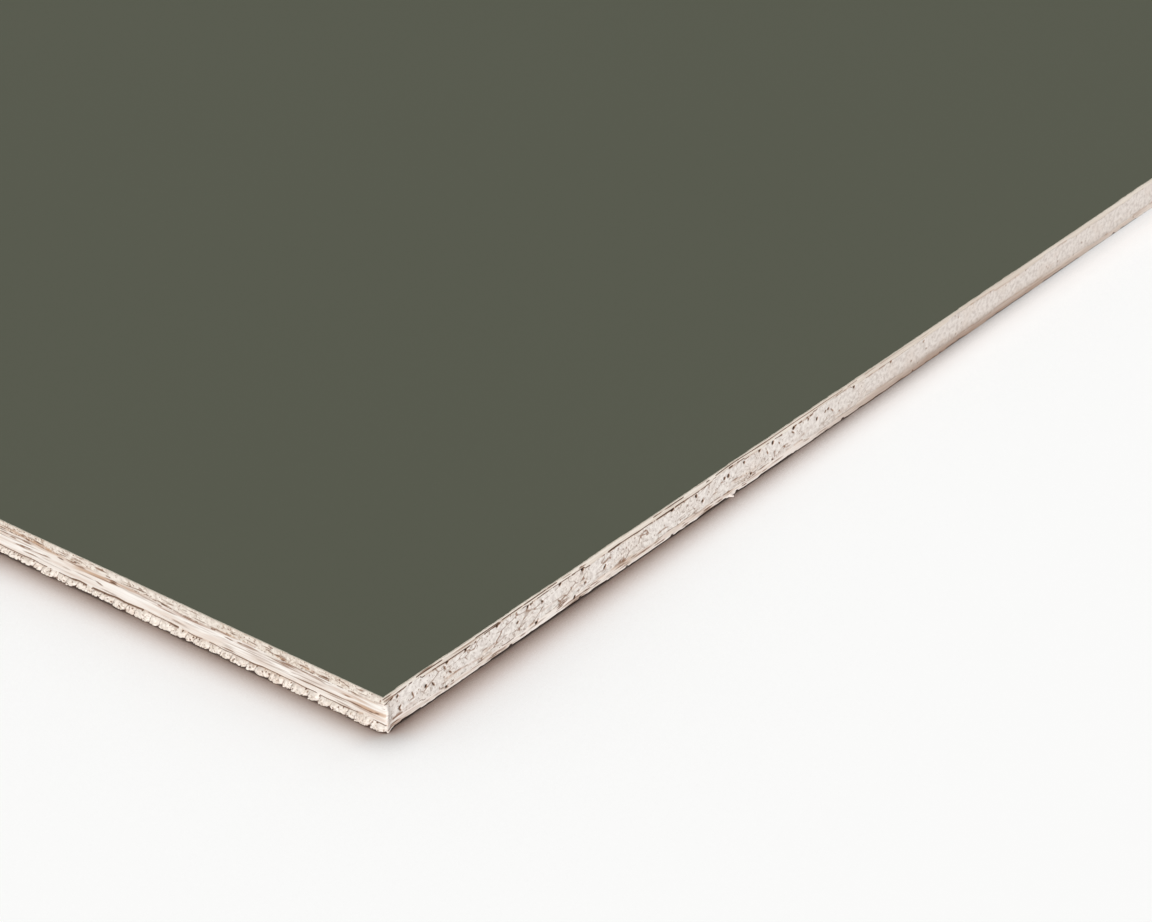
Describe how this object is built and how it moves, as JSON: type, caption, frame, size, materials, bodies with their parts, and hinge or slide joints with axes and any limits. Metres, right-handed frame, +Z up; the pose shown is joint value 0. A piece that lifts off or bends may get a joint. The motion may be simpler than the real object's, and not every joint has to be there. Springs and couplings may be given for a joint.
{
  "type": "film-faced plywood sheet",
  "caption": "Thin flat plywood sheet of crossed wood veneers with a matt olive film on its face, sawn square, with torn fibre along the back of its cross-cut ends.",
  "frame": {"origin": "centre of the underside, the face the sheet lies on", "axes": "+X along the long side and the grain of the outer veneers, +Y along the short side and the grain of the core, +Z up through the thickness to the film"},
  "size_m": [0.6, 0.3, 0.004],
  "materials": {
    "olive_film": "matte",
    "outer_veneer": "matte",
    "core_veneer": "matte"
  },
  "bodies": {
    "root": {"face_film": "olive_film", "face_veneer": "outer_veneer", "core_veneer": "core_veneer", "back_veneer": "outer_veneer"}
  },
  "joints": []
}
